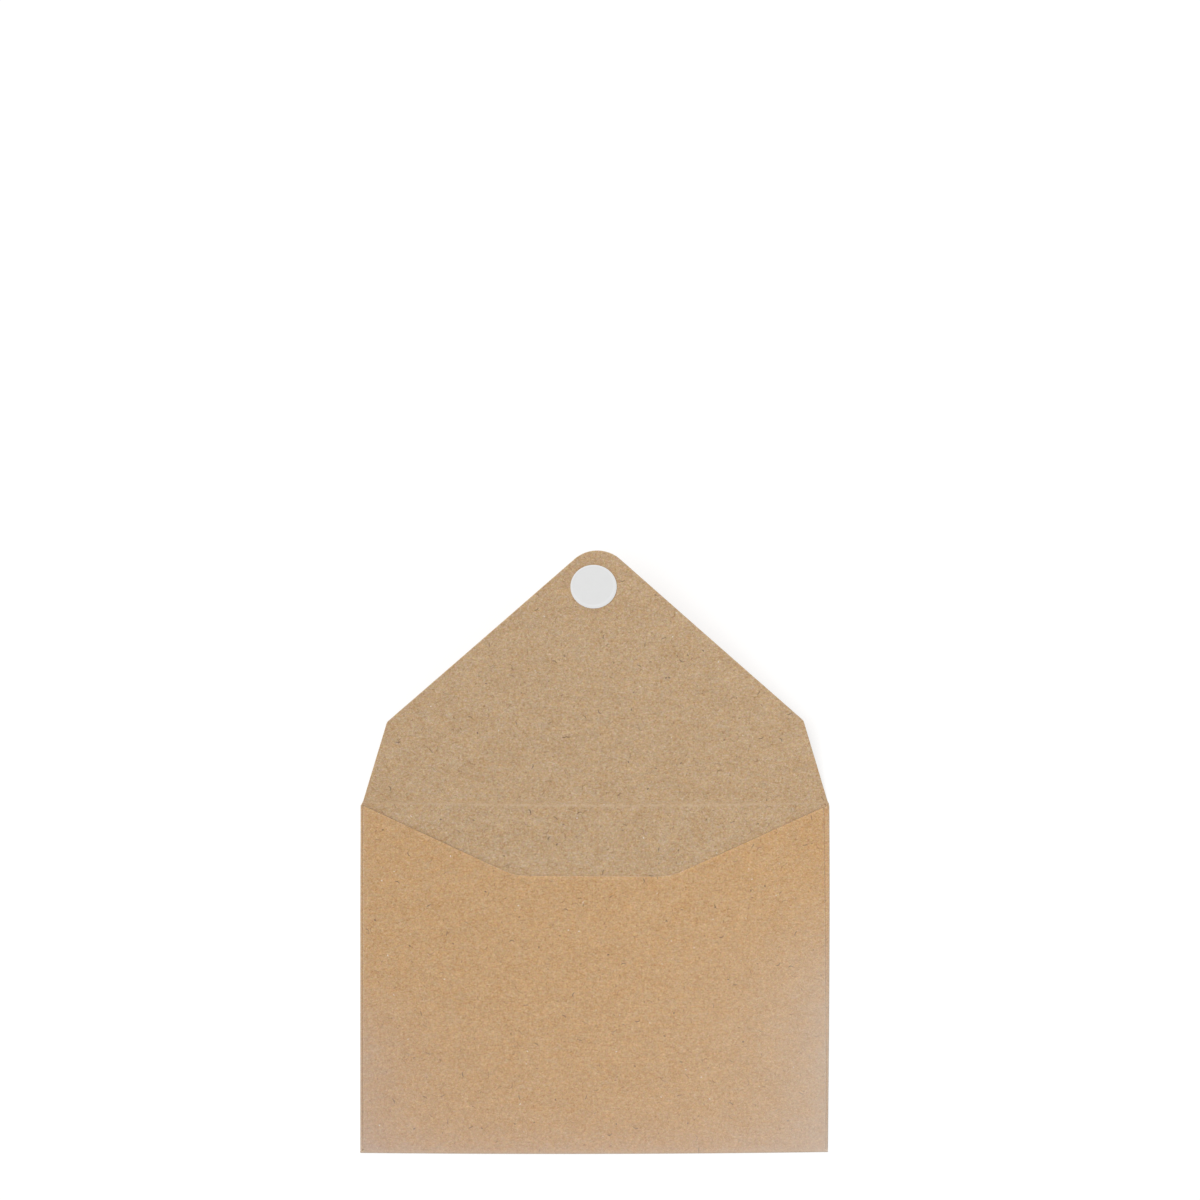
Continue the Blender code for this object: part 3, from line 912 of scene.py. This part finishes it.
def liner_white():
    """Coated paper, a touch whiter on the rim: no adhesive lies under it there, and the rim carries a
    painted highlight.
    """
    name = "liner_coated_paper"
    finish = plain_finish(name, LINER_WHITE, swing=0.02, roughness=0.45, stretch=(0.4, 0.4), relief=0.2)
    middle_x = (DOT_CENTRE_X + LINER_PLATEAU_SHIFT[0]) / MM
    middle_y = upper_blank(CREASE_ARC + DOT_CENTRE_RISE + LINER_PLATEAU_SHIFT[1]) / MM
    inputs = {0: finish.blank_place(), 1: (middle_x, middle_y, 0.0)}
    reach = finish.node("ShaderNodeVectorMath", {"operation": "DISTANCE"}, inputs).outputs["Value"]
    rim = finish.ramp(reach, start=RIM_START, end=RIM_END)
    base = finish.shader.inputs["Base Color"]
    share = finish.math("MULTIPLY", rim, RIM_SHARE)
    finish.feed(base, finish.mix(share, base.links[0].from_socket, (*RIM_HIGHLIGHT_WHITE, 1.0)))
    return finish.material


def seam_glue():
    name = "dried_seam_glue"
    finish = plain_finish(name, SEAM_COLOUR, swing=0.10, roughness=0.42, stretch=(0.5, 0.9), relief=0.5)
    return finish.material


def dot_adhesive():
    name = "clear_dot_adhesive"
    finish = plain_finish(name, DOT_COLOUR, swing=0.05, roughness=0.16, stretch=(0.6, 0.6), relief=0.3)
    return finish.material


INNER = inner_kraft()
OUTER = outer_kraft()
CUT = cut_kraft()
SEAM = seam_glue()
DOT = dot_adhesive()
LINER = liner_white()
UPPER_INNER = [INNER, OUTER, CUT]
UPPER_OUTER = [OUTER, INNER, CUT]


# Pieces

def stands_for(piece, node, body):
    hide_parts(node)
    if body:
        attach(piece, body)


def back_panel():
    corners = [
        (-BODY_X, BODY_FOOT, 0, False),
        (BODY_X, BODY_FOOT, 0, False),
        (BODY_X, BODY_HEAD, 0, False),
        (-BODY_X, BODY_HEAD, 0, False),
    ]
    near_crease = [BODY_HEAD - CREASE_STEP * row for row in range(1, CREASE_ROWS + 1)]
    cuts_y = steps_between(BODY_FOOT, near_crease[-1], SURFACE_STEP) + near_crease
    piece = sheet("back_paper", corners, back_place, lambda x, y: (x, y), UPPER_INNER, cuts_y=cuts_y)
    stands_for(piece, "back_panel", "body")


def bottom_fold():
    turn = math.pi * (BOTTOM_FOLD_RADIUS - PAPER / 2)
    width = 2 * FOLD_LEAD + turn
    corners = [
        (-BODY_X, 0, 0, False),
        (BODY_X, 0, 0, True),
        (HALF_WIDTH, FOLD_LEAD, 0, True),
        (HALF_WIDTH, width - FOLD_LEAD, 0, True),
        (POCKET_RIGHT_FOOT_X, width, 0, False),
        (POCKET_LEFT_FOOT_X, width, 0, True),
        (-HALF_WIDTH, width - FOLD_LEAD, 0, True),
        (-HALF_WIDTH, FOLD_LEAD, 0, True),
    ]

    def place(x, along, height):
        outward, z = round_fold(BOTTOM_FOLD_RADIUS, along, height)
        return settled(x, BOTTOM_FOLD_Y - outward, z)

    def blank(x, along):
        return x, BODY_FOOT - along

    cuts_y = [FOLD_LEAD + turn * step / FOLD_STEPS for step in range(FOLD_STEPS + 1)]
    piece = sheet("bottom_fold_paper", corners, place, blank, UPPER_OUTER, cuts_y=cuts_y)
    stands_for(piece, "bottom_fold", "body")


def pocket_panel():
    corners = [
        (POCKET_RIGHT_FOOT_X, BODY_FOOT, 0, True),
        (POCKET_RIGHT_X, POCKET_RIGHT_Y, POCKET_CORNER_RADIUS, True),
        (*MOUTH_RIGHT, MOUTH_RADIUS, True),
        (*MOUTH_LEFT, MOUTH_RADIUS, True),
        (POCKET_LEFT_X, POCKET_LEFT_Y, POCKET_CORNER_RADIUS, True),
        (POCKET_LEFT_FOOT_X, BODY_FOOT, 0, False),
    ]
    piece = sheet("pocket_paper", corners, pocket_place, pocket_blank, UPPER_OUTER)
    stands_for(piece, "pocket_panel", "body")


def side_pieces(side, sign):
    """The side fold, the flap that it turns in and the glue on that flap, on one side."""
    turn = math.pi * (SIDE_FOLD_RADIUS - PAPER / 2)
    width = 2 * FOLD_LEAD + turn
    foot = BODY_FOOT + CORNER_GAP
    upper_foot = BOTTOM_FOLD_Y + CORNER_GAP
    corners = [
        (0, foot, 0, True),
        (width / 2, foot, 0, True),
        (width / 2, upper_foot, 0, True),
        (width, upper_foot, 0, False),
        (width, BODY_HEAD, 0, True),
        (0, BODY_HEAD, 0, False),
    ]

    def place(along, y, height):
        """The fold swells a little above the flap that it turns in, except where it meets the corner."""
        outward, z = round_fold(SIDE_FOLD_RADIUS, along, height)
        past_crest = max(2 * along / width - 1, 0.0)
        down = (CREASE_Y - y) / (CREASE_Y - BOTTOM_Y)
        swell = FOLD_SWELL + (FOLD_SWELL_FOOT - FOLD_SWELL) * down
        fall = SWELL_FALL - SWELL_FALL_LOSS * down if past_crest > SWELL_CREST else SWELL_FALL
        z += swell * math.sin(math.pi * past_crest) ** fall * eased((y - BODY_FOOT) / CORNER_REACH)
        return settled(sign * (SIDE_FOLD_X + outward), y, z)

    def blank(along, y):
        return sign * (BODY_X + along), y

    cuts_x = [FOLD_LEAD + turn * step / FOLD_STEPS for step in range(FOLD_STEPS + 1)]
    cuts_x += steps_between(FOLD_LEAD + turn, width, FOLD_LEAD / FOLD_LEAD_STEPS)
    piece = sheet(f"{side}_fold_paper", corners, place, blank, UPPER_OUTER, cuts_x=cuts_x)
    stands_for(piece, f"{side}_side_fold", "body")

    def flap_at(x, y, height):
        return settled(sign * x, y, SIDE_FLAP_BASE + height)

    def flap_blank(x, y):
        return sign * (BODY_X + width + BODY_X - x), y

    corners = [
        (BODY_X, SIDE_FLAP_FOOT, 0, False),
        (BODY_X, SIDE_FLAP_HEAD, 0, True),
        (SIDE_FLAP_INNER_X, SIDE_FLAP_INNER_HEAD, SIDE_FLAP_RADIUS, True),
        (SIDE_FLAP_INNER_X, SIDE_FLAP_INNER_FOOT, SIDE_FLAP_RADIUS, True),
    ]
    piece = sheet(f"{side}_flap_paper", corners, flap_at, flap_blank, UPPER_OUTER)
    stands_for(piece, f"{side}_side_flap", "body")

    def seam_at(x, y, height):
        ragged = SEAM_RAGGED * math.sin(y / SEAM_WAVE) * math.cos(y / SEAM_SLOW_WAVE + sign)
        x += ragged * (x - SEAM_X) / SEAM_HALF_WIDTH
        return settled(sign * x, y, SEAM_BASE + height)

    low_x = SEAM_X - SEAM_HALF_WIDTH
    high_x = SEAM_X + SEAM_HALF_WIDTH
    round_end = SEAM_HALF_WIDTH * SEAM_END_ROUND
    corners = [
        (high_x, SEAM_FOOT, round_end, True),
        (high_x, SEAM_HEAD, round_end, True),
        (low_x, SEAM_HEAD, round_end, True),
        (low_x, SEAM_FOOT, round_end, True),
    ]
    cuts_y = steps_between(SEAM_FOOT, SEAM_HEAD, SEAM_STEP)
    name = f"{side}_glue_bead"
    all_seam = [SEAM, SEAM, SEAM]
    piece = sheet(name, corners, seam_at, flap_blank, all_seam, SEAM_THICKNESS, cuts_y=cuts_y)
    stands_for(piece, f"{side}_glue_seam", "body")


def crease():
    """The bent paper between back panel and flap, flared to the body's full width at its foot."""
    end = CREASE_ARC + CREASE_HEAD
    corners = [
        (CREASE_FLARE_X, -CREASE_FOOT, 0, True),
        (FLAP_BASE_X, end, 0, False),
        (-FLAP_BASE_X, end, 0, True),
        (-CREASE_FLARE_X, -CREASE_FOOT, 0, False),
    ]

    def blank(x, along):
        return x, upper_blank(along)

    cuts_y = steps_between(-CREASE_FOOT, end, CREASE_STEP)
    piece = sheet("crease_paper", corners, crease_place, blank, UPPER_INNER, cuts_y=cuts_y)
    stands_for(piece, "flap_crease", None)
    start = Vector((0, *crease_place(0, -CREASE_FOOT, 0)[1:]))
    stop = Vector((0, *crease_place(0, end, 0)[1:]))
    line = (stop - start).normalized()

    def reach(along, height):
        return (Vector(crease_place(0, along, height)) - start).dot(line)

    near = max(reach(-CREASE_FOOT, height) for height in (0, PAPER))
    far = min(reach(end, height) for height in (0, PAPER))
    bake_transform(piece)


def closing_flap():
    corners = [
        (FLAP_BASE_X, CREASE_HEAD, 0, True),
        (*SHOULDER_RIGHT, SHOULDER_RADIUS, True),
        (APEX_X, APEX_RISE, TIP_RADIUS, True),
        (*SHOULDER_LEFT, SHOULDER_RADIUS, True),
        (-FLAP_BASE_X, CREASE_HEAD, 0, False),
    ]

    def blank(x, rise):
        return x, upper_blank(CREASE_ARC + rise)

    piece = sheet("flap_paper", corners, flap_place, blank, UPPER_INNER)
    stands_for(piece, "closing_flap", "flap")


def dot_and_liner():
    def blank(x, y):
        return DOT_CENTRE_X + x, upper_blank(CREASE_ARC + DOT_CENTRE_RISE + y)

    def place(x, y, height):
        return flap_place(DOT_CENTRE_X + x, DOT_CENTRE_RISE + y, PAPER + height)

    def liner_place(x, y, height):
        """The raised middle lies a little off the liner's own centre."""
        inner = eased((LINER_PLATEAU_FOOT - math.hypot(x, y)) / LINER_PLATEAU_RAMP)
        return place(x + LINER_PLATEAU_SHIFT[0] * inner, y + LINER_PLATEAU_SHIFT[1] * inner, height)

    piece = turned("dot_glue", DOT_PROFILE, place, blank, DOT)
    stands_for(piece, "adhesive_dot", "flap")
    piece = turned("liner_disc", LINER_PROFILE, liner_place, blank, LINER)
    stands_for(piece, "release_liner", "liner")


# Floor, light and camera

def ray_is_seen(tree):
    """One for rays of the camera, and for those that a gloss or glass sends on."""
    path = tree.nodes.new("ShaderNodeLightPath")
    seen = path.outputs["Is Camera Ray"]
    for name in ("Is Glossy Ray", "Is Transmission Ray"):
        either = tree.nodes.new("ShaderNodeMath")
        either.operation = "MAXIMUM"
        tree.links.new(seen, either.inputs[0])
        tree.links.new(path.outputs[name], either.inputs[1])
        seen = either.outputs[0]
    return seen


WHITE = (1.0, 1.0, 1.0)
FLOOR_HALF_SIZE = 2.5
FLOOR_STEPS = 8
FLOOR_WHITE = 0.80
FLOOR_SHADOWED = 0.38
FLOOR_LIT = 0.69
WORLD_STRENGTH = 0.48


def floor():
    """A pale floor, which the camera sees evenly lit and with faint shadows only."""
    shape = bmesh.new()
    bmesh.ops.create_grid(shape, x_segments=FLOOR_STEPS, y_segments=FLOOR_STEPS, size=FLOOR_HALF_SIZE)
    mesh = bpy.data.meshes.new("floor")
    shape.to_mesh(mesh)
    shape.free()
    plane = bpy.data.objects.new("floor", mesh)
    bpy.context.scene.collection.objects.link(plane)
    material = bpy.data.materials.new("pale_floor")
    material.use_nodes = True
    tree = material.node_tree
    tree.nodes.clear()
    plain = tree.nodes.new("ShaderNodeBsdfDiffuse")
    plain.inputs[0].default_value = (FLOOR_WHITE, FLOOR_WHITE, FLOOR_WHITE, 1.0)
    soft = tree.nodes.new("ShaderNodeBsdfDiffuse")
    soft.inputs[0].default_value = (FLOOR_SHADOWED, FLOOR_SHADOWED, FLOOR_SHADOWED, 1.0)
    glow = tree.nodes.new("ShaderNodeEmission")
    glow.inputs["Strength"].default_value = FLOOR_LIT
    seen_floor = tree.nodes.new("ShaderNodeAddShader")
    tree.links.new(soft.outputs[0], seen_floor.inputs[0])
    tree.links.new(glow.outputs[0], seen_floor.inputs[1])
    chosen = tree.nodes.new("ShaderNodeMixShader")
    tree.links.new(ray_is_seen(tree), chosen.inputs[0])
    tree.links.new(plain.outputs[0], chosen.inputs[1])
    tree.links.new(seen_floor.outputs[0], chosen.inputs[2])
    output = tree.nodes.new("ShaderNodeOutputMaterial")
    tree.links.new(chosen.outputs[0], output.inputs[0])
    mesh.materials.append(material)


def world():
    """An even white sky, which the camera sees brighter than it shines on things."""
    sky = bpy.data.worlds.new("studio")
    bpy.context.scene.world = sky
    sky.use_nodes = True
    tree = sky.node_tree
    background = tree.nodes["Background"]
    background.inputs[0].default_value = (*WHITE, 1.0)
    strength = tree.nodes.new("ShaderNodeMapRange")
    tree.links.new(ray_is_seen(tree), strength.inputs[0])
    strength.inputs["To Min"].default_value = WORLD_STRENGTH
    strength.inputs["To Max"].default_value = 1.0
    tree.links.new(strength.outputs[0], background.inputs["Strength"])


def sun(name, strength, spread, tilt, towards, colour):
    """A broad soft light. Its angles are in degrees, and the tilt is from straight above."""
    light = bpy.data.lights.new(name, "SUN")
    light.energy = strength
    light.angle = math.radians(spread)
    light.color = colour
    lamp = bpy.data.objects.new(name, light)
    bpy.context.scene.collection.objects.link(lamp)
    lean = math.radians(tilt)
    turn = math.radians(towards)
    source = Vector((math.sin(lean) * math.cos(turn), math.sin(lean) * math.sin(turn), math.cos(lean)))
    lamp.rotation_euler = source.to_track_quat("Z", "Y").to_euler()


def camera():
    data = bpy.data.cameras.new("view")
    data.sensor_width = SENSOR
    data.lens = SENSOR * CAMERA_DISTANCE / FRAME_WIDTH
    viewer = bpy.data.objects.new("view", data)
    bpy.context.scene.collection.objects.link(viewer)
    viewer.location = (CAMERA_X, CAMERA_Y, CAMERA_DISTANCE)
    bpy.context.scene.camera = viewer


camera()
back_panel()
bottom_fold()
pocket_panel()
side_pieces("left", -1)
side_pieces("right", 1)
crease()
closing_flap()
dot_and_liner()
floor()
world()
sun("key_light", strength=1.61, spread=40, tilt=19, towards=138, colour=WHITE)
bpy.context.scene.view_settings.view_transform = "Standard"
